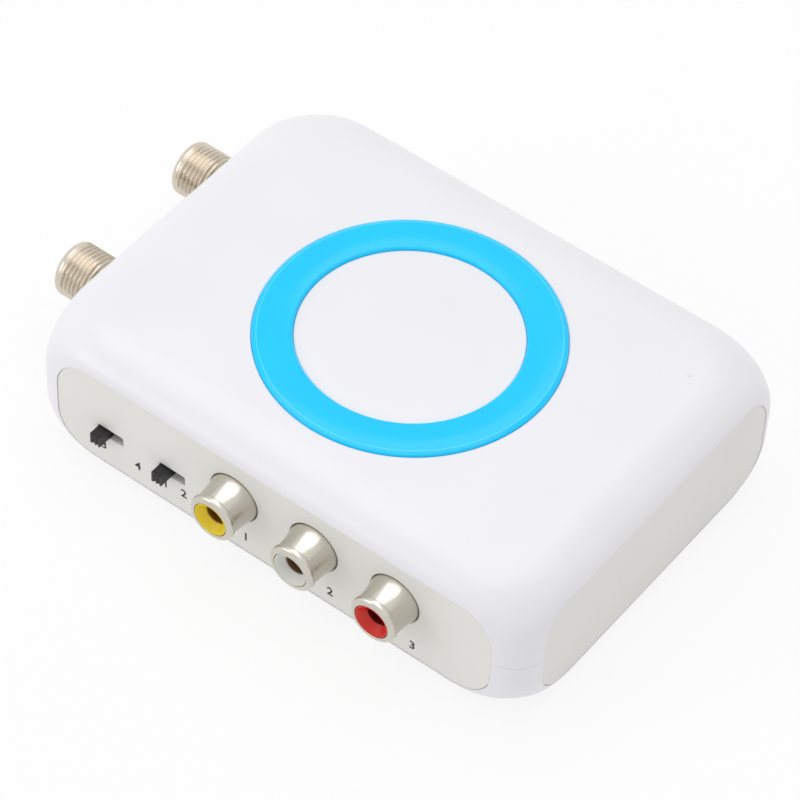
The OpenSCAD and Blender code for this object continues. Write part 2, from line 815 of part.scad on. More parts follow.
module tuning_coils() {
    top = board_top + coil_h;
    color("silver") for (k = [-1, 1])
        translate([can_x + can_l / 2, can_y + k * coil_pitch / 2, 0]) difference() {
            block(0, 0, board_top, top, coil_w, coil_w);
            bar(top - coil_slug_sink, top + over, coil_slug_r);
        }
}
module crystal() {
    x = can_x + can_l - can_wall - crystal_w;
    half = (crystal_l - crystal_w) / 2;
    color("silver") translate([x, can_y, board_top]) union() {
        linear_extrude(crystal_h) {
            square([crystal_w, 2 * half], center = true);
            for (k = [-1, 1]) translate([0, k * half]) circle(crystal_w / 2);
        }
        linear_extrude(crystal_rim) {
            square([crystal_w + 2 * crystal_rim, 2 * half], center = true);
            for (k = [-1, 1]) translate([0, k * half]) circle(crystal_w / 2 + crystal_rim);
        }
    }
}

// Screws, each with a cross recess in its head
module cross_cut(r, depth) {
    block(0, 0, -over, depth, 2 * drive_share * r, drive_w);
    block(0, 0, -over, depth, drive_w, 2 * drive_share * r);
}
module board_screws() {
    top = board_top + board_head_h;
    color("silver") at_pillars() difference() {
        union() {
            bar(board_top, top, board_head_r);
            bar(board_z - board_screw_grip, board_top + slip, board_screw_r);
        }
        translate([0, 0, top]) mirror([0, 0, 1]) cross_cut(board_head_r, board_head_h / 2);
    }
}
module case_screws() {
    low = post_seat - case_head_h;
    color("dimgray") at_posts() difference() {
        union() {
            bar(low, post_seat, case_head_r);
            bar(post_seat - slip, seam_z + case_screw_grip, case_screw_r);
        }
        translate([0, 0, low]) cross_cut(case_head_r, case_head_h / 2);
    }
}

top_shell();
bottom_shell();
front_panel();
right_panel();
rear_panel();
left_panel();
light_ring();
circuit_board();
shield_can();
shield_lid();
jack_sleeve(0);  // video_jack_sleeve
jack_body(0, "gold");  // video_jack_body
jack_contact(0);  // video_jack_contact
jack_sleeve(1);  // audio_left_jack_sleeve
jack_body(1, "white");  // audio_left_jack_body
jack_contact(1);  // audio_left_jack_contact
jack_sleeve(2);  // audio_right_jack_sleeve
jack_body(2, "red");  // audio_right_jack_body
jack_contact(2);  // audio_right_jack_contact
coax_barrel(0);  // rf_out_barrel
coax_insulator(0);  // rf_out_insulator
coax_contact(0);  // rf_out_contact
coax_barrel(1);  // rf_in_barrel
coax_insulator(1);  // rf_in_insulator
coax_contact(1);  // rf_in_contact
switch_knob(0);  // channel_switch_knob
switch_wiper(0);  // channel_switch_wiper
switch_frame(0);  // channel_switch_frame
switch_base(0);  // channel_switch_base
switch_knob(1);  // mode_switch_knob
switch_wiper(1);  // mode_switch_wiper
switch_frame(1);  // mode_switch_frame
switch_base(1);  // mode_switch_base
switch_terminals();
power_jack_body();
power_jack_pin();
power_jack_spring();
ring_leds();
filter_capacitors();
voltage_regulator();
modulator_chip();
tuning_coils();
crystal();
board_screws();
case_screws();
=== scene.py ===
import math

import bmesh
import bpy
from mathutils import Matrix, Vector


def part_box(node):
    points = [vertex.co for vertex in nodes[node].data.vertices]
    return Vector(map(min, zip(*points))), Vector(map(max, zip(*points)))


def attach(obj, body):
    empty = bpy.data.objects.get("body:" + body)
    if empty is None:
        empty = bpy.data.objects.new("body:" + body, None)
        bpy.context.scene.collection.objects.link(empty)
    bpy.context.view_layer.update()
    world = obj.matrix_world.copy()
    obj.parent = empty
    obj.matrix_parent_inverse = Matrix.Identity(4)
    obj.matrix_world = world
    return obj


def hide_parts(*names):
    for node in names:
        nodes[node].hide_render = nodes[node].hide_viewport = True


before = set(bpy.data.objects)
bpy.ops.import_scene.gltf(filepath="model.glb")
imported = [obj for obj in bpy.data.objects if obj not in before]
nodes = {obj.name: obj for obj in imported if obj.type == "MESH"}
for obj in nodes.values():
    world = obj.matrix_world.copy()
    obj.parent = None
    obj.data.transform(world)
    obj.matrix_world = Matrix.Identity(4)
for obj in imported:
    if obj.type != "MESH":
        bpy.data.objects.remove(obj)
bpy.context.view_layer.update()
MM = 0.001

# Housing: two shells injection moulded in white ABS, polished in the mould to a soft gloss. Each is a
# pillow form with large edge radii, cut by four flats that hold the side panels, and the two meet at
# a fine seam half way up.
BODY_W, BODY_D, BODY_H = 102 * MM, 75 * MM, 26 * MM
CORNER_R, TOP_R, BASE_R = 17 * MM, 11 * MM, 9 * MM
FLAT_X, FLAT_Y, FLAT_BLEND = 48 * MM, 34.8 * MM, 2.2 * MM
SEAM_Z, SEAM_GAP, SEAM_EASE = 13 * MM, 0.02 * MM, 0.07 * MM
WALL = 2 * MM
CAVITY_X, CAVITY_Y, CAVITY_BLEND = 44.6 * MM, 31.4 * MM, 0.2 * MM
RING_OUTER, RING_INNER = 24.4 * MM, 18.0 * MM
RING_SEAT, RING_CLEAR, SEAT_EASE = 1 * MM, 0.08 * MM, 0.12 * MM
# the domed disc inside the ring: its rise, and its levels as shares of its radius
DOME_RISE = 0.35 * MM
DOME_LEVELS = (1, 0.85, 0.7, 0.55, 0.4, 0.25, 0.12)
PANEL_R = 6.5 * MM
FLANGE_REACH, FLANGE_T, LIP, SLIP = 0.8 * MM, 1.2 * MM, 1 * MM, 0.1 * MM
POST_R, POST_HOLE_R, POST_SEAT, POST_SEAT_R = 3.2 * MM, 1.5 * MM, 2.4 * MM, 2.8 * MM
POST_ROOT, POST_TOP = WALL - 0.3 * MM, SEAM_Z - 0.1 * MM
SCREW_HEAD_R, RECESS_EASE = 2.5 * MM, 0.15 * MM
# how far a cutter reaches past the back and the front of what it cuts, and through a window
CUT_BEHIND, CUT_BEYOND, CUT_WINDOW = 1 * MM, 2 * MM, 8 * MM
CORNER_STEPS, SIDE_STEPS, EDGE_STEPS, POST_STEPS = 24, 44, 16, 48


def linear(hex_colour):
    """An sRGB hex colour as linear RGBA."""
    parts = [int(hex_colour[i:i + 2], 16) / 255 for i in (1, 3, 5)]
    return [c / 12.92 if c <= 0.04045 else ((c + 0.055) / 1.055) ** 2.4 for c in parts] + [1.0]


def add(tree, kind, inputs=None, **settings):
    """Adds a shader node. An input is a value, or another node's output socket to link from."""
    new = tree.nodes.new(kind)
    for name, value in settings.items():
        setattr(new, name, value)
    for name, value in (inputs or {}).items():
        if isinstance(value, bpy.types.NodeSocket):
            tree.links.new(value, new.inputs[name])
        else:
            new.inputs[name].default_value = value
    return new


def finish_for(name, **surface):
    """A new material: its tree, its principled shader, and the object coordinates that patterns use."""
    material = bpy.data.materials.new(name)
    material.use_nodes = True
    tree = material.node_tree
    shader = tree.nodes["Principled BSDF"]
    for socket, value in surface.items():
        shader.inputs[socket.replace("_", " ")].default_value = value
    place = add(tree, "ShaderNodeTexCoord").outputs["Object"]
    return material, tree, shader, place


def welded_mesh(name, verts, faces, reach):
    """A mesh whose points within reach of each other become one, with its faces turned outward."""
    mesh = bpy.data.meshes.new(name)
    mesh.from_pydata(verts, [], faces)
    mesh.validate()
    joined = bmesh.new()
    joined.from_mesh(mesh)
    bmesh.ops.remove_doubles(joined, verts=joined.verts, dist=reach)
    bmesh.ops.recalc_face_normals(joined, faces=joined.faces)
    joined.to_mesh(mesh)
    joined.free()
    return mesh


def smooth_over(mesh, sharp=32):
    """Smooth shading, except at edges sharper than the given angle in degrees."""
    mesh.polygons.foreach_set("use_smooth", [True] * len(mesh.polygons))
    mesh.set_sharp_from_angle(angle=math.radians(sharp))


def make_piece(name, verts, faces, material, sharp=32):
    """A mesh piece of the housing's body."""
    mesh = welded_mesh(name, verts, faces, 0.001 * MM)
    smooth_over(mesh, sharp)
    mesh.materials.append(material)
    piece = bpy.data.objects.new(name, mesh)
    bpy.context.scene.collection.objects.link(piece)
    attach(piece, "housing")
    return piece


def soft_limit(value, limit, blend):
    """The value held to plus or minus a limit, with a rounded turn where it meets the limit."""
    size = abs(value)
    share = min(max(0.5 + 0.5 * (limit - size) / blend, 0), 1)
    held = limit * (1 - share) + size * share - blend * share * (1 - share)
    return math.copysign(held, value)


def plan_points(w, d, r):
    """Points round a rounded rectangle, counter-clockwise from the middle of the +X side."""
    points = []
    quarter_side = SIDE_STEPS // 2
    for k in range(4):
        along, across = (d, w) if k % 2 == 0 else (w, d)
        turn = math.radians(90 * k)
        half, out = along / 2 - r, across / 2
        side = [(out, half * i / quarter_side) for i in range(quarter_side)]
        bend = [(out - r + r * math.cos(a), half + r * math.sin(a))
                for a in (math.pi / 2 * i / CORNER_STEPS for i in range(CORNER_STEPS))]
        next_half = across / 2 - r
        back = [(next_half * (1 - i / quarter_side), along / 2) for i in range(quarter_side)]
        for x, y in side + bend + back:
            points.append((x * math.cos(turn) - y * math.sin(turn), x * math.sin(turn) + y * math.cos(turn)))
    return points


def pillow_ring(z, inset, w, d, r, limits, blend):
    """One level of the pillow form, held back to the flats."""
    points = plan_points(w - 2 * inset, d - 2 * inset, max(r - inset, 0.001 * MM))
    return [(soft_limit(x, limits[0], blend), soft_limit(y, limits[1], blend), z) for x, y in points]


def edge_levels(r, centre_z, upper):
    """Height and inset of each level on a rounded edge, from the side to the flat top or base."""
    sign = 1 if upper else -1
    angles = [math.pi / 2 * i / EDGE_STEPS for i in range(EDGE_STEPS + 1)]
    return [(centre_z + sign * r * math.sin(a), r * (1 - math.cos(a))) for a in angles]


def bridge(count, starts):
    """Quads between neighbouring rings of count points, given by the rings' first vertex numbers."""
    quads = []
    for low, high in zip(starts, starts[1:]):
        for i in range(count):
            j = (i + 1) % count
            quads.append((low + i, low + j, high + j, high + i))
    return quads


def circle_at(z, r, like):
    """A ring of points on a circle, each in the direction of its partner on another ring."""
    return [(r * math.cos(a), r * math.sin(a), z) for a in (math.atan2(y, x) for x, y, _ in like)]


def loft(levels):
    """A closed form through (outline, distance out of the front) levels, with (along, height) outlines."""
    count = len(levels[0][0])
    verts = [(a, -u, z) for outline, u in levels for a, z in outline]
    starts = [k * count for k in range(len(levels))]
    faces = bridge(count, starts)
    faces += [tuple(range(count))[::-1], tuple(range(starts[-1], starts[-1] + count))]
    return verts, faces


def rounded_outline(x, half, foot, head, r, steps=10):
    """A rounded rectangle with its middle at x, as (along, height) points."""
    points = []
    for cx, cz, start in ((half - r, head - r, 0), (r - half, head - r, 90),
                          (r - half, foot + r, 180), (half - r, foot + r, 270)):
        for i in range(steps + 1):
            a = math.radians(start + 90 * i / steps)
            points.append((x + cx + r * math.cos(a), cz + r * math.sin(a)))
    return points


def panel_outline(half, foot, head, grow):
    """The outline of a side panel, or of its window or flange, by how far it is grown."""
    return rounded_outline(0, half + grow, foot - grow, head + grow, PANEL_R + grow)


def turned(verts, degrees):
    """The same points, turned about the vertical axis."""
    c, s = math.cos(math.radians(degrees)), math.sin(math.radians(degrees))
    return [(x * c - y * s, x * s + y * c, z) for x, y, z in verts]


def cut_with(piece, verts, faces):
    """Cuts a closed form out of a piece."""
    mesh = welded_mesh("cutter", verts, faces, 0.0001 * MM)
    cutter = bpy.data.objects.new("cutter", mesh)
    bpy.context.scene.collection.objects.link(cutter)
    step = piece.modifiers.new("cut", "BOOLEAN")
    step.object, step.operation, step.solver = cutter, "DIFFERENCE", "EXACT"
    bpy.context.view_layer.update()
    result = bpy.data.meshes.new_from_object(piece.evaluated_get(bpy.context.evaluated_depsgraph_get()))
    piece.modifiers.remove(step)
    old, piece.data = piece.data, result
    bpy.data.meshes.remove(old)
    bpy.data.objects.remove(cutter)
    bpy.data.meshes.remove(mesh)


def lathe(profile, steps, place_point, shaped=None):
    """Revolves an open (radius, distance) profile; shaped gives points another radius by their angle."""
    verts, faces = [], []
    for i in range(steps):
        angle = 2 * math.pi * i / steps
        for r, u in profile:
            if shaped:
                r = shaped(r, u, angle)
            verts.append(place_point(r * math.cos(angle), r * math.sin(angle), u))
    rows = len(profile)
    for i in range(steps):
        j = (i + 1) % steps
        faces += [(i * rows + k, i * rows + k + 1, j * rows + k + 1, j * rows + k) for k in range(rows - 1)]
    return verts, faces


def join_to(piece, verts, faces):
    """Adds a form to a piece's mesh."""
    whole = bmesh.new()
    whole.from_mesh(piece.data)
    added = [whole.verts.new(v) for v in verts]
    for face in faces:
        whole.faces.new([added[i] for i in face])
    whole.to_mesh(piece.data)
    whole.free()


def shell_mesh(upper):
    """One shell: its outside from the seam to the top or base, back along its inside to the seam."""
    r = TOP_R if upper else BASE_R
    seam = SEAM_Z + (SEAM_GAP if upper else -SEAM_GAP)
    way = 1 if upper else -1
    centre = BODY_H - TOP_R if upper else BASE_R
    outer = (BODY_W, BODY_D, CORNER_R, (FLAT_X, FLAT_Y), FLAT_BLEND)
    inner = (BODY_W - 2 * WALL, BODY_D - 2 * WALL, CORNER_R - WALL, (CAVITY_X, CAVITY_Y), CAVITY_BLEND)
    eased = (FLAT_X - SEAM_EASE, FLAT_Y - SEAM_EASE)
    rings = [pillow_ring(seam, SEAM_EASE, BODY_W, BODY_D, CORNER_R, eased, FLAT_BLEND),
             pillow_ring(seam + way * SEAM_EASE, 0, *outer)]
    rings += [pillow_ring(z, inset, *outer) for z, inset in edge_levels(r, centre, upper)]
    if upper:
        seat_outer, seat_inner = RING_OUTER + RING_CLEAR, RING_INNER - RING_CLEAR
        seat = [(0, seat_outer + SEAT_EASE), (SEAT_EASE, seat_outer), (RING_SEAT, seat_outer),
                (RING_SEAT, seat_inner), (SEAT_EASE, seat_inner)]
        rings += [circle_at(BODY_H - depth, radius, rings[-1]) for depth, radius in seat]
        dome_r = seat_inner - SEAT_EASE
        rings += [circle_at(BODY_H + DOME_RISE * (1 - share ** 2), dome_r * share, rings[-1])
                  for share in DOME_LEVELS]
    outside = len(rings)
    rings += [pillow_ring(z, inset, *inner) for z, inset in reversed(edge_levels(r - WALL, centre, upper))]
    rings.append(pillow_ring(seam, 0, *inner))
    count = len(rings[0])
    verts = [p for ring in rings for p in ring]
    faces = bridge(count, [k * count for k in range(outside)])
    faces += bridge(count, [k * count for k in range(outside, len(rings))])
    faces += bridge(count, [(len(rings) - 1) * count, 0])
    faces.append(tuple(range((outside - 1) * count, outside * count)))
    faces.append(tuple(range(outside * count, (outside + 1) * count))[::-1])
    return verts, faces


# white ABS: a dense polymer with a soft gloss; the mould's fine polish gives it a broad, clean highlight,
# and a trace of orange peel lets reflections waver
shell_abs, tree, shader, place = finish_for("moulded white ABS", Roughness=0.3, IOR=1.53)
peel = add(tree, "ShaderNodeTexNoise", {"Vector": place, "Scale": 1 / (2.2 * MM), "Detail": 2.0})
dust = add(tree, "ShaderNodeTexNoise", {"Vector": place, "Scale": 1 / (14 * MM), "Detail": 3.0})
tone = add(tree, "ShaderNodeValToRGB", {"Fac": dust.outputs["Fac"]})
tone.color_ramp.elements[0].color = linear("#EEEEF3")
tone.color_ramp.elements[1].color = linear("#F3F2F6")
relief = add(tree, "ShaderNodeBump", {"Height": peel.outputs["Fac"], "Strength": 0.06, "Distance": 0.05 * MM})
# one small grey rub mark on the top, near the far right corner
rub_place, rub_core, rub_reach = (37.98 * MM, 20.4 * MM, BODY_H), 0.15 * MM, 0.6 * MM
offset = add(tree, "ShaderNodeVectorMath", {0: place, 1: rub_place}, operation="SUBTRACT")
stretch = add(tree, "ShaderNodeVectorMath", {0: offset.outputs[0], 1: (1.0, 2.6, 1.0)}, operation="MULTIPLY")
far = add(tree, "ShaderNodeVectorMath", {0: stretch.outputs[0]}, operation="LENGTH")
rub = add(tree, "ShaderNodeMapRange", {
    "Value": far.outputs["Value"], "From Min": rub_core, "From Max": rub_reach,
    "To Min": 0.35, "To Max": 0.0})
scuffed = add(tree, "ShaderNodeMix", {0: rub.outputs[0], 6: tone.outputs["Color"], 7: linear("#A9A6A6")},
              data_type="RGBA")
tree.links.new(scuffed.outputs[2], shader.inputs["Base Color"])
tree.links.new(relief.outputs["Normal"], shader.inputs["Normal"])

# (foot, head, half length) of the windows, from the panels that fill them
windows = {}
for name, axis in (("front_panel", 0), ("right_panel", 1)):
    low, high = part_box(name)
    windows[name] = (low[2] + FLANGE_REACH, high[2] - FLANGE_REACH, high[axis] - FLANGE_REACH)
screws_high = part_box("case_screws")[1]
posts = [(sx * (screws_high[0] - SCREW_HEAD_R), sy * (screws_high[1] - SCREW_HEAD_R))
         for sx in (-1, 1) for sy in (-1, 1)]

for name, upper in (("top_shell", True), ("bottom_shell", False)):
    verts, faces = shell_mesh(upper)
    shell = make_piece(name + "_moulding", verts, faces, shell_abs)
    for window, turns in (("front_panel", (0, 180)), ("right_panel", (90, 270))):
        foot, head, half = windows[window]
        near = CAVITY_Y if window == "front_panel" else CAVITY_X
        flat = FLAT_Y if window == "front_panel" else FLAT_X
        opening = loft([(panel_outline(half, foot, head, 0), d)
                        for d in (near - CUT_BEHIND, near + CUT_WINDOW)])
        groove = loft([(panel_outline(half, foot, head, FLANGE_REACH + SLIP), d)
                       for d in (flat - LIP - FLANGE_T - 2 * SLIP, flat - LIP)])
        for degrees in turns:
            for block, sides in (opening, groove):
                cut_with(shell, turned(block, degrees), sides)
    if not upper:
        recess = [(0, -WALL), (POST_SEAT_R + RECESS_EASE, -WALL), (POST_SEAT_R + RECESS_EASE, 0),
                  (POST_SEAT_R, RECESS_EASE), (POST_SEAT_R, WALL + CUT_BEHIND), (0, WALL + CUT_BEHIND)]
        post = [(POST_SEAT_R, POST_ROOT), (POST_SEAT_R, POST_SEAT), (POST_HOLE_R, POST_SEAT),
                (POST_HOLE_R, POST_TOP), (POST_R, POST_TOP), (POST_R, POST_ROOT)]
        for x, y in posts:
            cut_with(shell, *lathe(recess, POST_STEPS, lambda a, b, u: (x + a, y + b, u)))
            join_to(shell, *lathe(post, POST_STEPS, lambda a, b, u: (x + a, y + b, u)))
    smooth_over(shell.data)
    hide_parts(name)

# Side panels: four plates moulded in the same white ABS with a fine matt spark texture. A flange behind each
# sits in a groove of the shells, and the face lies just inside the rim of its window.
PANEL_EASE = 0.12 * MM
SLOT_HALF, SLOT_RISE, SLOT_R = 2.5 * MM, 0.95 * MM, 0.3 * MM
JACK_HOLE_R, COAX_HOLE_R, INLET_HOLE_R = 4.6 * MM, 5.2125 * MM, 4.05 * MM
# height of a jack's and of the inlet's moulding above the middle of its hole
JACK_ABOVE, INLET_ABOVE = 5 * MM, 4.6 * MM
HOLE_STEPS = 96

# spark-eroded ABS: a matt skin that scatters the light, so the plates look greyer than the shells. Its grains
# are about 0.05 mm across and are drawn at 0.4 mm, as coarse as they need to be to show
plate_abs, tree, shader, place = finish_for("fine matt white ABS", Roughness=0.5, IOR=1.53)
spark = add(tree, "ShaderNodeTexNoise", {"Vector": place, "Scale": 1 / (0.4 * MM), "Detail": 3.0})
shade = add(tree, "ShaderNodeTexNoise", {"Vector": place, "Scale": 1 / (11 * MM), "Detail": 2.0})
tone = add(tree, "ShaderNodeValToRGB", {"Fac": shade.outputs["Fac"]})
tone.color_ramp.elements[0].color = linear("#E9E8E3")
tone.color_ramp.elements[1].color = linear("#EFEEE9")
relief = add(tree, "ShaderNodeBump", {
    "Height": spark.outputs["Fac"], "Strength": 0.25, "Distance": 0.02 * MM})
tree.links.new(tone.outputs["Color"], shader.inputs["Base Color"])
tree.links.new(relief.outputs["Normal"], shader.inputs["Normal"])


def round_hole(r, near, face, place_point):
    """A cutter for a round hole whose front edge is broken."""
    profile = [(0, near), (r, near), (r, face - PANEL_EASE), (r + PANEL_EASE, face),
               (r + PANEL_EASE, face + CUT_BEYOND), (0, face + CUT_BEYOND)]
    return lathe(profile, HOLE_STEPS, place_point)


def slot_hole(x, half, foot, head, near, face):
    """A cutter for one of the front's two slots, its front edge broken."""
    close, broken = (rounded_outline(x, half + ease, foot - ease, head + ease, SLOT_R + ease, 4)
                     for ease in (0, PANEL_EASE))
    return loft([(close, near), (close, face - PANEL_EASE), (broken, face), (broken, face + CUT_BEYOND)])


def middle(node, axis):
    """The middle of a CAD solid along an axis."""
    low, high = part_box(node)
    return (low[axis] + high[axis]) / 2


jacks = ("video_jack", "audio_left_jack", "audio_right_jack")
switches = ("channel_switch", "mode_switch")
connectors = ("rf_out", "rf_in")
jack_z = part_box("video_jack_body")[1][2] - JACK_ABOVE
coax_z = middle("rf_out_barrel", 2)
inlet_x, inlet_z = middle("power_jack_body", 0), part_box("power_jack_body")[1][2] - INLET_ABOVE

for name, degrees, axis in (("front_panel", 0, 1), ("right_panel", 90, 0), ("rear_panel", 180, 1),
                            ("left_panel", 270, 0)):
    low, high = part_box(name)
    back, face = sorted((abs(low[axis]), abs(high[axis])))
    near = back - CUT_BEHIND
    foot, head, half = windows["front_panel" if axis else "right_panel"]
    flange, body, eased = (panel_outline(half, foot, head, grow)
                           for grow in (FLANGE_REACH, -SLIP / 2, -SLIP / 2 - PANEL_EASE))
    verts, faces = loft([(flange, back), (flange, back + FLANGE_T), (body, back + FLANGE_T),
                         (body, face - PANEL_EASE), (eased, face)])
    plate = make_piece(name + "_plate", turned(verts, degrees), faces, plate_abs)
    if name == "front_panel":
        for jack in jacks:
            x = middle(jack + "_sleeve", 0)
            cut_with(plate, *round_hole(JACK_HOLE_R, near, face, lambda a, b, u: (x + a, -u, jack_z + b)))
        for switch in switches:
            x, z = middle(switch + "_frame", 0), middle(switch + "_knob", 2)
            cut_with(plate, *slot_hole(x, SLOT_HALF, z - SLOT_RISE, z + SLOT_RISE, near, face))
    elif name == "rear_panel":
        cut_with(plate, *round_hole(INLET_HOLE_R, near, face, lambda a, b, u: (inlet_x + a, u, inlet_z + b)))
    elif name == "left_panel":
        for connector in connectors:
            y = middle(connector + "_barrel", 1)
            cut_with(plate, *round_hole(COAX_HOLE_R, near, face, lambda a, b, u: (-u, y + a, coax_z + b)))
    smooth_over(plate.data)
    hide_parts(name)

# Light ring: one polished acrylic moulding, tinted cyan right through, pressed into its seat in the top.
# Lamps on the board light it from below, so its colour is even and strong; a faint painted glow in the
# acrylic stands for that light.
RING_PROUD, RING_FALL, RING_LIFT = 0.5 * MM, 0.16 * MM, 0.02 * MM
INNER_EDGE_R, OUTER_EDGE_R, LINE_EDGE_R = 0.45 * MM, 0.35 * MM, 0.3 * MM
# where the top turns down to the outer band over a small rounded edge, which carries a painted highlight, and
# how far that highlight spreads to each side
HIGHLIGHT_EDGE_R, HIGHLIGHT_LINE_W = 23.65 * MM, 0.1 * MM
RING_STEPS = 256

# acrylic: clear, hard and glossy, so the tint looks deep and the light of the lamps spreads inside it
ring_acrylic, tree, shader, place = finish_for(
    "cyan acrylic", Roughness=0.1, IOR=1.49, Specular_IOR_Level=0.35, Emission_Strength=0.12,
    Subsurface_Weight=0.15, Subsurface_Scale=1.5 * MM)
# painted glow: a faint emission in the acrylic's colour stands for the light of the lamps on the board
shader.inputs["Emission Color"].default_value = linear("#10C4FF")
cloud = add(tree, "ShaderNodeTexNoise", {"Vector": place, "Scale": 1 / (9 * MM), "Detail": 2.0})
tone = add(tree, "ShaderNodeValToRGB", {"Fac": cloud.outputs["Fac"]})
tone.color_ramp.elements[0].color = linear("#00C2F6")
tone.color_ramp.elements[1].color = linear("#00CCFC")
# a painted highlight: a fine pale line in the colour along the small rounded edge near the outer rim, where
# that edge catches the light
flat_place = add(tree, "ShaderNodeVectorMath", {0: place, 1: (1, 1, 0)}, operation="MULTIPLY")
reach = add(tree, "ShaderNodeVectorMath", {0: flat_place.outputs[0]}, operation="LENGTH")
off_highlight = add(tree, "ShaderNodeMath", {0: reach.outputs["Value"], 1: HIGHLIGHT_EDGE_R}, operation="SUBTRACT")
off_size = add(tree, "ShaderNodeMath", {0: off_highlight.outputs[0]}, operation="ABSOLUTE")
painted_highlight = add(tree, "ShaderNodeMapRange", {
    "Value": off_size.outputs[0], "From Min": 0.0, "From Max": HIGHLIGHT_LINE_W, "To Min": 0.55, "To Max": 0.0})
highlighted = add(tree, "ShaderNodeMix", {0: painted_highlight.outputs[0], 6: tone.outputs["Color"], 7: linear("#8DF1FF")},
            data_type="RGBA")
tree.links.new(highlighted.outputs[2], shader.inputs["Base Color"])


def arc(cx, cy, r, start, end, steps):
    """Points on an arc, angles in degrees."""
    angles = [math.radians(start + (end - start) * i / steps) for i in range(steps + 1)]
    return [(cx + r * math.cos(a), cy + r * math.sin(a)) for a in angles]


top, under = BODY_H + RING_PROUD, BODY_H - RING_SEAT + RING_LIFT
profile = [(RING_INNER, under)]
profile += arc(RING_INNER + INNER_EDGE_R, top - INNER_EDGE_R, INNER_EDGE_R, 180, 90, 6)
profile += arc(HIGHLIGHT_EDGE_R, top - LINE_EDGE_R, LINE_EDGE_R, 90, 70, 3)
profile += arc(RING_OUTER - OUTER_EDGE_R, top - RING_FALL - OUTER_EDGE_R, OUTER_EDGE_R, 80, 0, 6)
profile += [(RING_OUTER, under), (RING_INNER, under)]
verts, faces = lathe(profile, RING_STEPS, lambda x, y, u: (x, y, u))
ring = make_piece("light_ring_acrylic", verts, faces, ring_acrylic, sharp=50)
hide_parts("light_ring")

# Phono jacks: each is a nickel-plated steel sleeve, drawn in one piece with its rolled rim and flange, and
# pressed over a coloured moulding. The moulding stands on the board and holds the contact for the plug's pin.
SLEEVE_R, TUBE_R, TUBE_BORE_R, MOUTH_R, ROOT_R = 4.15 * MM, 3.95 * MM, 3.6 * MM, 3.1 * MM, 4.45 * MM
SLEEVE_FLANGE_R, SLEEVE_FLANGE_T = 5 * MM, 0.35 * MM
RIM_L, RIM_BACK, RIM_BEAD, MOUTH_EASE = 1.25 * MM, 0.2 * MM, 0.5 * MM, 0.05 * MM
LEG_R, LEG_INSET = 0.2 * MM, 0.01 * MM
NOSE_FORWARD, NOSE_R, NOSE_DISH = 0.22 * MM, 0.08 * MM, 0.04 * MM
FUNNEL_R, FUNNEL_BORE_R, FUNNEL_DEPTH = 2.8 * MM, 1.8 * MM, 1.5 * MM
# the funnel's turn into its bore: how far it starts outside the bore, and half its length
TURN_OUT, TURN_HALF = 0.1 * MM, 0.06 * MM
GUIDE_L, HOLD_R = 1.2 * MM, 2.05 * MM
# the angle in degrees from which an edge of a CAD solid is rounded
BEVEL_FROM = 40
# how far the face of a panel lies below its flat
PANEL_RECESS = 0.4 * MM
FLARE_STEPS, TURNED_STEPS = 14, 96
TINY = 1e-6


def plated_metal(name, light, dark, roughness):
    """Plate over drawn or turned metal: satin, with a faint stain and fine marks from the tool."""
    metal, tree, shader, place = finish_for(name, Metallic=1.0, Roughness=roughness)
    stain = add(tree, "ShaderNodeTexNoise", {"Vector": place, "Scale": 1 / (3 * MM), "Detail": 4.0})
    marks = add(tree, "ShaderNodeTexNoise", {"Vector": place, "Scale": 1 / (0.5 * MM), "Detail": 3.0})
    tone = add(tree, "ShaderNodeValToRGB", {"Fac": stain.outputs["Fac"]})
    tone.color_ramp.elements[0].color = linear(dark)
    tone.color_ramp.elements[1].color = linear(light)
    roughness_and_shade = add(tree, "ShaderNodeMapRange", {
        "Value": marks.outputs["Fac"], "To Min": roughness - 0.03, "To Max": roughness + 0.04})
    relief = add(tree, "ShaderNodeBump", {
        "Height": marks.outputs["Fac"], "Strength": 0.03, "Distance": 0.02 * MM})
    tree.links.new(tone.outputs["Color"], shader.inputs["Base Color"])
    tree.links.new(roughness_and_shade.outputs[0], shader.inputs["Roughness"])
    tree.links.new(relief.outputs["Normal"], shader.inputs["Normal"])
    return metal


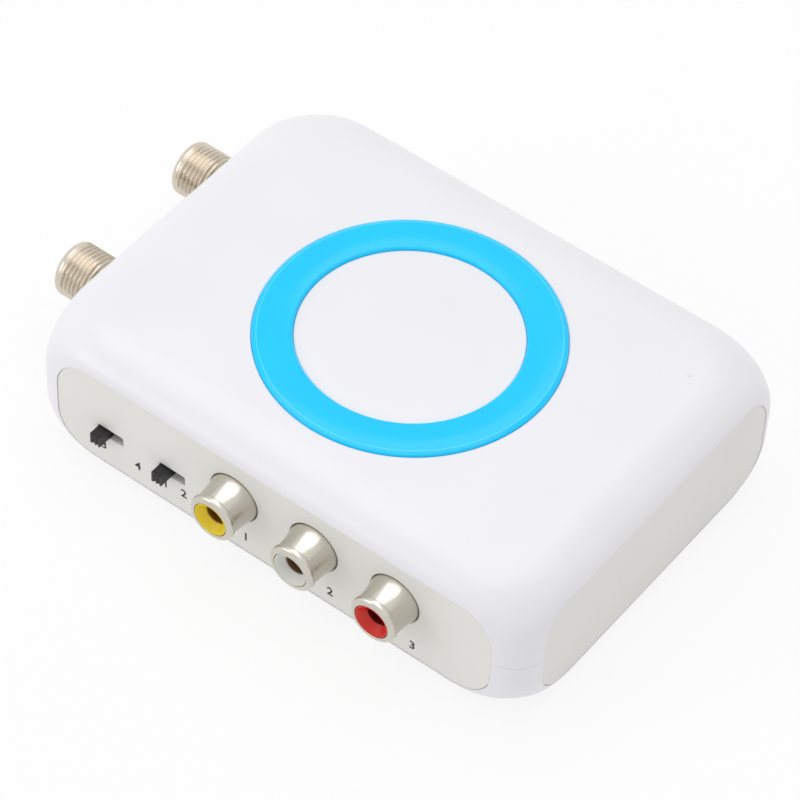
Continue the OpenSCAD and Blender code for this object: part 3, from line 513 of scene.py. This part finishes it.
def moulded_colour(name, light, dark, roughness=0.35, grain=1.5 * MM, bore=None):
    """An injection moulding: soft gloss with a faint flow pattern, and painted shade, a darker colour, in the
    bore at (x, z) where given.
    """
    plastic, tree, shader, place = finish_for(name, Roughness=roughness, IOR=1.5)
    flow = add(tree, "ShaderNodeTexNoise", {"Vector": place, "Scale": 1 / grain, "Detail": 3.0})
    skin = add(tree, "ShaderNodeTexNoise", {"Vector": place, "Scale": 5 / grain, "Detail": 2.0})
    tone = add(tree, "ShaderNodeValToRGB", {"Fac": flow.outputs["Fac"]})
    tone.color_ramp.elements[0].color = linear(dark)
    tone.color_ramp.elements[1].color = linear(light)
    relief = add(tree, "ShaderNodeBump", {
        "Height": skin.outputs["Fac"], "Strength": 0.12, "Distance": 0.02 * MM})
    colour = tone.outputs["Color"]
    # painted shade: the colour is darkened within the bore's radius of the axis at (x, z), where the funnel
    # and bore lie in shade
    if bore:
        across = add(tree, "ShaderNodeVectorMath", {0: place, 1: (1, 0, 1)}, operation="MULTIPLY")
        away = add(tree, "ShaderNodeVectorMath", {0: across.outputs[0], 1: (bore[0], 0, bore[1])},
                   operation="DISTANCE")
        inside = add(tree, "ShaderNodeMapRange", {
            "Value": away.outputs["Value"], "From Min": FUNNEL_BORE_R, "From Max": FUNNEL_BORE_R + 0.15 * MM,
            "To Min": 1.0, "To Max": 0.0})
        roughness_and_shade = add(tree, "ShaderNodeMix", {0: inside.outputs[0], 6: colour, 7: linear("#8A6A50")},
                   data_type="RGBA", blend_type="MULTIPLY")
        colour = roughness_and_shade.outputs[2]
    tree.links.new(colour, shader.inputs["Base Color"])
    tree.links.new(relief.outputs["Normal"], shader.inputs["Normal"])
    return plastic


def dress(node, material, edge=0):
    """Gives a CAD solid that stays its finish, with a small radius on its edges where that shows."""
    solid = nodes[node]
    for holder in solid.material_slots:
        holder.link = "OBJECT"
        holder.material = material
    if edge:
        soften = solid.modifiers.new("edge", "BEVEL")
        soften.width, soften.segments, soften.limit_method = edge, 2, "ANGLE"
        soften.angle_limit = math.radians(BEVEL_FROM)


# nickel plate: a warm grey that mirrors the room softly, as drawing leaves the steel beneath it satin
sleeve_nickel = plated_metal("satin nickel plate", "#D3CFC5", "#C8C3B8", 0.2)
# spring brass: yellow and a little duller, as rolled strip is
contact_brass = plated_metal("plated spring brass", "#D9B96A", "#BF9C4C", 0.3)
# polypropylene, tinted right through: strong even colour under a soft gloss, with painted shade in the bore
tints = {"video_jack": ("jack_yellow", "yellow moulding", "#F4DA1A", "#EACE10"),
         "audio_left_jack": ("jack_white", "white moulding", "#E6E6E1", "#DCDCD7"),
         "audio_right_jack": ("jack_red", "red moulding", "#E02408", "#D41C04")}

for jack in jacks:
    x = middle(jack + "_sleeve", 0)
    low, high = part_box(jack + "_sleeve")
    tip, foot, board_top = -low[1], -high[1], low[2]
    rim, face = tip - RIM_L, FLAT_Y - PANEL_RECESS
    flare_l, flare_w = rim - face, ROOT_R - TUBE_R
    flare_r = (flare_l ** 2 + flare_w ** 2) / (2 * flare_w)
    profile = [(TUBE_BORE_R, foot), (SLEEVE_FLANGE_R, foot), (SLEEVE_FLANGE_R, foot + SLEEVE_FLANGE_T),
               (ROOT_R, foot + SLEEVE_FLANGE_T)]
    profile += [(TUBE_R + flare_r - math.sqrt(flare_r ** 2 - (rim - u) ** 2), u)
                for u in (face + flare_l * k / FLARE_STEPS for k in range(FLARE_STEPS + 1))]
    profile += arc(SLEEVE_R - RIM_BACK, rim + RIM_BACK, RIM_BACK, -90, 0, 5)
    profile += [(MOUTH_R + (SLEEVE_R - MOUTH_R) * a, tip - RIM_BEAD + RIM_BEAD * b)
                for a, b in arc(0, 0, 1, 0, 88, 14)]
    profile += [(MOUTH_R, tip - MOUTH_EASE), (MOUTH_R, rim), (TUBE_BORE_R, rim), (TUBE_BORE_R, foot)]
    verts, faces = lathe(profile, TURNED_STEPS, lambda a, b, u: (x + a, -u, jack_z + b))
    sleeve = make_piece(jack + "_sleeve_shell", verts, faces, sleeve_nickel, sharp=40)
    leg_top = jack_z - (SLEEVE_FLANGE_R + SLEEVE_R) / 2
    leg = rounded_outline(x, SLEEVE_FLANGE_R / 2, board_top, leg_top, LEG_R, 3)
    join_to(sleeve, *loft([(leg, foot + LEG_INSET), (leg, foot + SLEEVE_FLANGE_T - LEG_INSET)]))
    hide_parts(jack + "_sleeve")

    low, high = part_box(jack + "_body")
    nose, block_back, block_front = -low[1] + NOSE_FORWARD, -high[1], foot - SLIP
    block_half, below, above = (high[0] - low[0]) / 2, jack_z - low[2], high[2] - jack_z

    def to_block(r, u, angle):
        """Points beyond the tube lie on the block's sides."""
        if r < SLEEVE_FLANGE_R:
            return r
        c, v = abs(math.cos(angle)), math.sin(angle)
        return min(block_half / max(c, TINY), (above if v > 0 else below) / max(abs(v), TINY))

    tube_fit, mouth_fit, deep = TUBE_BORE_R - SLIP, MOUTH_R - SLIP, nose - FUNNEL_DEPTH
    profile = [(HOLD_R, block_back), (SLEEVE_FLANGE_R, block_back), (SLEEVE_FLANGE_R, block_front),
               (tube_fit, block_front), (tube_fit, rim - SLIP), (mouth_fit, rim - SLIP)]
    profile += arc(mouth_fit - NOSE_R, nose - NOSE_R, NOSE_R, 0, 90, 3)
    profile += [(FUNNEL_R, nose - NOSE_DISH), (FUNNEL_BORE_R + TURN_OUT, deep + TURN_HALF),
                (FUNNEL_BORE_R, deep - TURN_HALF), (FUNNEL_BORE_R, deep - GUIDE_L), (HOLD_R, deep - GUIDE_L),
                (HOLD_R, block_back)]
    slot_name, tint_name, light, dark = tints[jack]
    # the bore of each moulding gets painted shade
    tint = moulded_colour(tint_name, light, dark, bore=(x, jack_z))
    verts, faces = lathe(profile, TURNED_STEPS, lambda a, b, u: (x + a, -u, jack_z + b), to_block)
    moulding = make_piece(jack + "_moulding", verts, faces, tint, sharp=30)
    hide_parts(jack + "_body")
    dress(jack + "_contact", contact_brass)

# Coax connectors: brass turned in one piece and nickel plated, with a unified inch thread of 32 turns to the
# inch on the nose and a square foot behind the panel. The insulator and the wire's clip sit in the bore.
THREAD_R, NECK_R, COAX_BORE_R, NOSE_ROUND = 4.7625 * MM, 4.0 * MM, 3.6 * MM, 1.2 * MM
THREAD_L, THREAD_PITCH, THREAD_DEPTH = 7.2 * MM, 25.4 / 32 * MM, 0.42 * MM
# the thread runs out over these shares of a pitch, and a power below one makes its crests broader
RUN_OUT_FRONT, RUN_OUT_BACK, CREST_POWER = 0.7, 1.2, 0.8
THREAD_RINGS = 10
# any radius past the thread's stands for the square foot
FOOT_L, FOOT_MARK_R = 8 * MM, THREAD_R + 1 * MM
NOSE_GAP, MOUTH_OUT, MOUTH_BACK = 0.1 * MM, 0.05 * MM, 0.01 * MM

# nickel over brass: warmer and brighter than on the steel sleeves, as turning leaves the brass smoother
coax_nickel = plated_metal("nickel plate on turned brass", "#DFD6C8", "#CCC0B0", 0.2)
# acetal: an opaque ivory plastic with a waxy gloss
insulator_ivory = moulded_colour("ivory moulding", "#E9E3D0", "#DFD8C2")

for name in connectors:
    low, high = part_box(name + "_barrel")
    y, tip, block_back = middle(name + "_barrel", 1), -low[0], -high[0]
    block_half, block_front = (high[1] - low[1]) / 2, block_back + FOOT_L
    thread_back, thread_front = tip - THREAD_L, tip - NOSE_ROUND - NOSE_GAP

    def turned_form(r, u, angle):
        """The square foot, and the thread's ridges, which run out at both of its ends."""
        if r > THREAD_R:
            return block_half / max(abs(math.cos(angle)), abs(math.sin(angle)))
        if r < THREAD_R or not thread_back <= u <= thread_front:
            return r
        turn = u / THREAD_PITCH - angle / (2 * math.pi)
        ridge = (0.5 + 0.5 * math.cos(2 * math.pi * turn)) ** CREST_POWER
        at_front = min(1, (thread_front - u) / (RUN_OUT_FRONT * THREAD_PITCH))
        at_back = min(1, (u - thread_back) / (RUN_OUT_BACK * THREAD_PITCH))
        cut_r = THREAD_R - THREAD_DEPTH * (1 - ridge) * at_front
        return NECK_R + (cut_r - NECK_R) * at_back

    rings = int(THREAD_L / THREAD_PITCH * THREAD_RINGS)
    profile = [(COAX_BORE_R, block_back), (FOOT_MARK_R, block_back), (FOOT_MARK_R, block_front),
               (NECK_R, block_front)]
    profile += [(THREAD_R, thread_back + (thread_front - thread_back) * k / rings) for k in range(rings + 1)]
    profile += arc(THREAD_R - NOSE_ROUND, tip - NOSE_ROUND, NOSE_ROUND, 0, 80, 9)
    profile += [(COAX_BORE_R + MOUTH_OUT, tip - MOUTH_BACK), (COAX_BORE_R, tip - NOSE_GAP),
                (COAX_BORE_R, block_back)]
    verts, faces = lathe(profile, TURNED_STEPS, lambda a, b, u: (-u, y + a, coax_z + b), turned_form)
    barrel = make_piece(name + "_barrel_turned", verts, faces, coax_nickel, sharp=40)
    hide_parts(name + "_barrel")
    dress(name + "_insulator", insulator_ivory, edge=0.1 * MM)
    dress(name + "_contact", contact_brass)

# Slide switches: a black knob of glass-filled nylon with three teeth at its tip slides in a frame of tinned
# steel. The contact spring on its shoe joins the terminals in a base of phenolic board.

# nylon with glass fibre: black, and rather dull, as the fibres roughen its skin
knob_black = moulded_colour("black nylon moulding", "#1B1B1C", "#141415", roughness=0.42, grain=0.8 * MM)
# tinned steel: pale and satin, from hot dipping
tinned_steel = plated_metal("tinned steel", "#CFCFCB", "#B5B6B3", 0.3)
# phenolic paper board: brown and matt, with the paper's grain showing
phenolic = moulded_colour("phenolic paper board", "#8A5A30", "#6E4524", roughness=0.55, grain=0.7 * MM)

for switch in switches:
    dress(switch + "_knob", knob_black, edge=0.07 * MM)
    dress(switch + "_wiper", contact_brass)
    dress(switch + "_frame", tinned_steel, edge=0.1 * MM)
    dress(switch + "_base", phenolic)
dress("switch_terminals", tinned_steel)

# Power inlet: a black moulding whose round nose fills the rear panel's hole, with a plated pin in the middle
# of its socket and a flat spring that presses on the plug.

# polybutylene: black with a low gloss, a little paler than the knobs
inlet_black = moulded_colour("black inlet moulding", "#202022", "#18181A", roughness=0.38)
dress("power_jack_body", inlet_black, edge=0.12 * MM)
dress("power_jack_pin", tinned_steel, edge=0.3 * MM)
dress("power_jack_spring", tinned_steel)

# Circuit board: glass-epoxy laminate under a green solder mask, with copper tracks that show as a paler
# green. It carries the screening can, the voltage regulator, the capacitors, the coils and the lamps.

# solder mask: a glossy green lacquer that takes the weave of the laminate below it
mask_green, tree, shader, place = finish_for("green solder mask", Roughness=0.3, IOR=1.55)
route = add(tree, "ShaderNodeTexVoronoi", {"Vector": place, "Scale": 1 / (4 * MM)}, distance="MANHATTAN")
weave = add(tree, "ShaderNodeTexNoise", {"Vector": place, "Scale": 1 / (0.5 * MM), "Detail": 2.0})
tracks = add(tree, "ShaderNodeValToRGB", {"Fac": route.outputs["Distance"]})
tracks.color_ramp.interpolation = "CONSTANT"
tracks.color_ramp.elements[0].color = linear("#1C6B3A")
tracks.color_ramp.elements[1].position = 0.4
tracks.color_ramp.elements[1].color = linear("#145530")
relief = add(tree, "ShaderNodeBump", {"Height": weave.outputs["Fac"], "Strength": 0.2, "Distance": 0.02 * MM})
tree.links.new(tracks.outputs["Color"], shader.inputs["Base Color"])
tree.links.new(relief.outputs["Normal"], shader.inputs["Normal"])
dress("circuit_board", mask_green)

# tinplate: rolled bright, so it mirrors more than the dipped frames of the switches
tinplate = plated_metal("bright tinplate", "#D6D6D3", "#BCBDBB", 0.22)
for node in ("shield_can", "shield_lid", "tuning_coils", "crystal"):
    dress(node, tinplate, edge=0.1 * MM)

# shrunk vinyl film: dark blue with a clear gloss; moulded epoxy: near black, matt and slightly grainy
cap_sleeve = moulded_colour("dark blue shrink sleeve", "#1E2440", "#141830", roughness=0.3)
chip_black = moulded_colour("black epoxy package", "#222224", "#19191B", roughness=0.5, grain=0.6 * MM)
dress("filter_capacitors", cap_sleeve)
dress("voltage_regulator", chip_black, edge=0.15 * MM)
dress("modulator_chip", chip_black, edge=0.1 * MM)

# cast epoxy: water clear and very smooth, with a trace of blue haze
lamp_epoxy, tree, shader, place = finish_for(
    "clear lamp epoxy", Roughness=0.08, IOR=1.52, Transmission_Weight=0.85)
haze = add(tree, "ShaderNodeTexNoise", {"Vector": place, "Scale": 1 / (1 * MM), "Detail": 2.0})
tone = add(tree, "ShaderNodeValToRGB", {"Fac": haze.outputs["Fac"]})
tone.color_ramp.elements[0].color = linear("#CFE4F2")
tone.color_ramp.elements[1].color = linear("#E3F1FA")
tree.links.new(tone.outputs["Color"], shader.inputs["Base Color"])
dress("ring_leds", lamp_epoxy)

# Screws: cross-head, zinc plated on the board and black oxide on the case, where the heads sit in recesses of
# the underside.

# zinc plate: cool, pale and satin
zinc = plated_metal("bright zinc plate", "#CDCECB", "#B4B6B4", 0.3)
# black oxide: a thin dark skin that still shines like the steel under it
black_oxide = plated_metal("black oxide on steel", "#4A4A4C", "#37373A", 0.4)
dress("board_screws", zinc, edge=0.15 * MM)
dress("case_screws", black_oxide, edge=0.2 * MM)

# Numbers on the front: two positions at each switch and one number at each jack, pad-printed on the panel in
# a film of black ink about 0.02 mm thick.
DIGIT_SIZE, DIGIT_WEIGHT, INK_T = 2.4 * MM, 0.05 * MM, 0.02 * MM
# each digit, and where its middle is along the panel and up it, in mm
DIGITS = (("3", -32.8, 7.0), ("4", -25.9, 7.1), ("1", -20.3, 7.0), ("2", -16.7, 7.3),
          ("1", -4.4, 6.4), ("2", 12.0, 6.0), ("3", 27.7, 5.6))

# ink: near black and dull, a little uneven where the pad lifts off
ink, tree, shader, place = finish_for("black pad-printing ink", Roughness=0.55, IOR=1.5)
patchy = add(tree, "ShaderNodeTexNoise", {"Vector": place, "Scale": 1 / (0.25 * MM), "Detail": 3.0})
tone = add(tree, "ShaderNodeValToRGB", {"Fac": patchy.outputs["Fac"]})
tone.color_ramp.elements[0].color = linear("#1A1A1A")
tone.color_ramp.elements[1].color = linear("#2C2C2C")
tree.links.new(tone.outputs["Color"], shader.inputs["Base Color"])

digit_verts, digit_faces = [], []
face = -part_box("front_panel")[0][1]
for digit, x, z in DIGITS:
    text = bpy.data.curves.new("number", "FONT")
    text.body, text.size, text.extrude = digit, DIGIT_SIZE, INK_T / 2
    text.align_x, text.align_y = "CENTER", "CENTER"
    text.resolution_u, text.offset = 6, DIGIT_WEIGHT
    holder = bpy.data.objects.new("number", text)
    bpy.context.scene.collection.objects.link(holder)
    bpy.context.view_layer.update()
    shape = bpy.data.meshes.new_from_object(holder.evaluated_get(bpy.context.evaluated_depsgraph_get()))
    first = len(digit_verts)
    digit_verts += [(x * MM + v.co.x, -face - INK_T / 2 - v.co.z, z * MM + v.co.y) for v in shape.vertices]
    digit_faces += [tuple(first + i for i in polygon.vertices) for polygon in shape.polygons]
    bpy.data.objects.remove(holder)
    bpy.data.curves.remove(text)
    bpy.data.meshes.remove(shape)
numbers = make_piece("front_numbers", digit_verts, digit_faces, ink)

# Stage: a pale table top under even studio light, seen from the front right and above through a long lens.
# The camera and polished surfaces see the table and the backdrop as white, with a light shadow.
SHADOW_KEPT = 0.16
FLOOR_HALF, FLOOR_Z = 3000 * MM, -0.03 * MM
ROOM_LIGHT = 0.64
# width of the film in mm and of the picture in pixels
FILM_W, PICTURE_W = 36, 800

# table paint: plain matt white, with a barely uneven tone
floor_paint, tree, shader, place = finish_for("white table", Roughness=0.9)
grain = add(tree, "ShaderNodeTexNoise", {"Vector": place, "Scale": 1 / (60 * MM), "Detail": 2.0})
tone = add(tree, "ShaderNodeValToRGB", {"Fac": grain.outputs["Fac"]})
tone.color_ramp.elements[0].color = linear("#F6F6F6")
tone.color_ramp.elements[1].color = linear("#FAFAFA")
tree.links.new(tone.outputs["Color"], shader.inputs["Base Color"])


def seen_directly(tree):
    """One where the camera looks straight at a surface, or sees it mirrored or through glass."""
    path = add(tree, "ShaderNodeLightPath")
    seen = add(tree, "ShaderNodeMath", {0: path.outputs["Is Camera Ray"], 1: path.outputs["Is Glossy Ray"]},
               operation="MAXIMUM")
    return add(tree, "ShaderNodeMath", {0: seen.outputs[0], 1: path.outputs["Is Transmission Ray"]},
               operation="MAXIMUM")


glow = add(tree, "ShaderNodeEmission", {"Color": linear("#FFFFFF"), "Strength": 1.0})
share = add(tree, "ShaderNodeMath", {0: seen_directly(tree).outputs[0], 1: 1 - SHADOW_KEPT},
            operation="MULTIPLY")
mixed = add(tree, "ShaderNodeMixShader", {0: share.outputs[0], 1: shader.outputs[0], 2: glow.outputs[0]})
tree.links.new(mixed.outputs[0], tree.nodes["Material Output"].inputs["Surface"])
floor_mesh = bpy.data.meshes.new("table")
floor_corners = [(x * FLOOR_HALF, y * FLOOR_HALF, FLOOR_Z) for x, y in ((-1, -1), (1, -1), (1, 1), (-1, 1))]
floor_mesh.from_pydata(floor_corners, [], [(0, 1, 2, 3)])
floor_mesh.materials.append(floor_paint)
table = bpy.data.objects.new("table", floor_mesh)
bpy.context.scene.collection.objects.link(table)

world = bpy.data.worlds.new("studio")
bpy.context.scene.world = world
world.use_nodes = True
sky = world.node_tree
sky.nodes.clear()
room = add(sky, "ShaderNodeBackground", {"Color": linear("#FFFFFF"), "Strength": ROOM_LIGHT})
backdrop = add(sky, "ShaderNodeBackground", {"Color": linear("#FFFFFF"), "Strength": 1.0})
both = add(sky, "ShaderNodeMixShader", {
    0: seen_directly(sky).outputs[0], 1: room.outputs[0], 2: backdrop.outputs[0]})
add(sky, "ShaderNodeOutputWorld", {"Surface": both.outputs[0]})


def softbox(name, place, size, watts):
    """An area lamp that faces the object."""
    lamp = bpy.data.lights.new(name, "AREA")
    lamp.shape, lamp.size, lamp.size_y, lamp.energy = "RECTANGLE", size[0], size[1], watts
    holder = bpy.data.objects.new(name, lamp)
    bpy.context.scene.collection.objects.link(holder)
    holder.location = place
    holder.rotation_euler = (-Vector(place)).to_track_quat("-Z", "Y").to_euler()


softbox("overhead", (-0.15, 0.1, 0.9), (0.9, 0.9), 3.15)
softbox("front_left", (-0.7, -0.8, 0.45), (0.6, 0.5), 1.65)

# camera: fitted to the outline, the ring and the connectors of the photo
azimuth, elevation, roll = (math.radians(a) for a in (35.47, 48.87, 2.89))
distance, focal_pixels = 616.96 * MM, 3894.75
aim_right, aim_up = -0.70 * MM, 7.18 * MM
forward = Vector((-math.sin(azimuth) * math.cos(elevation), math.cos(azimuth) * math.cos(elevation),
                  -math.sin(elevation)))
level = Vector((math.cos(azimuth), math.sin(azimuth), 0))
upright = level.cross(forward)
right = math.cos(roll) * level + math.sin(roll) * upright
up = -math.sin(roll) * level + math.cos(roll) * upright
camera_data = bpy.data.cameras.new("camera")
camera_data.sensor_width = FILM_W
camera_data.lens = focal_pixels / PICTURE_W * FILM_W
camera_data.clip_start, camera_data.clip_end = 0.01, 20
camera = bpy.data.objects.new("camera", camera_data)
bpy.context.scene.collection.objects.link(camera)
camera.matrix_world = Matrix((right, up, -forward)).transposed().to_4x4()
camera.location = aim_right * right + aim_up * up - distance * forward
bpy.context.scene.camera = camera
bpy.context.scene.view_settings.view_transform = "Standard"
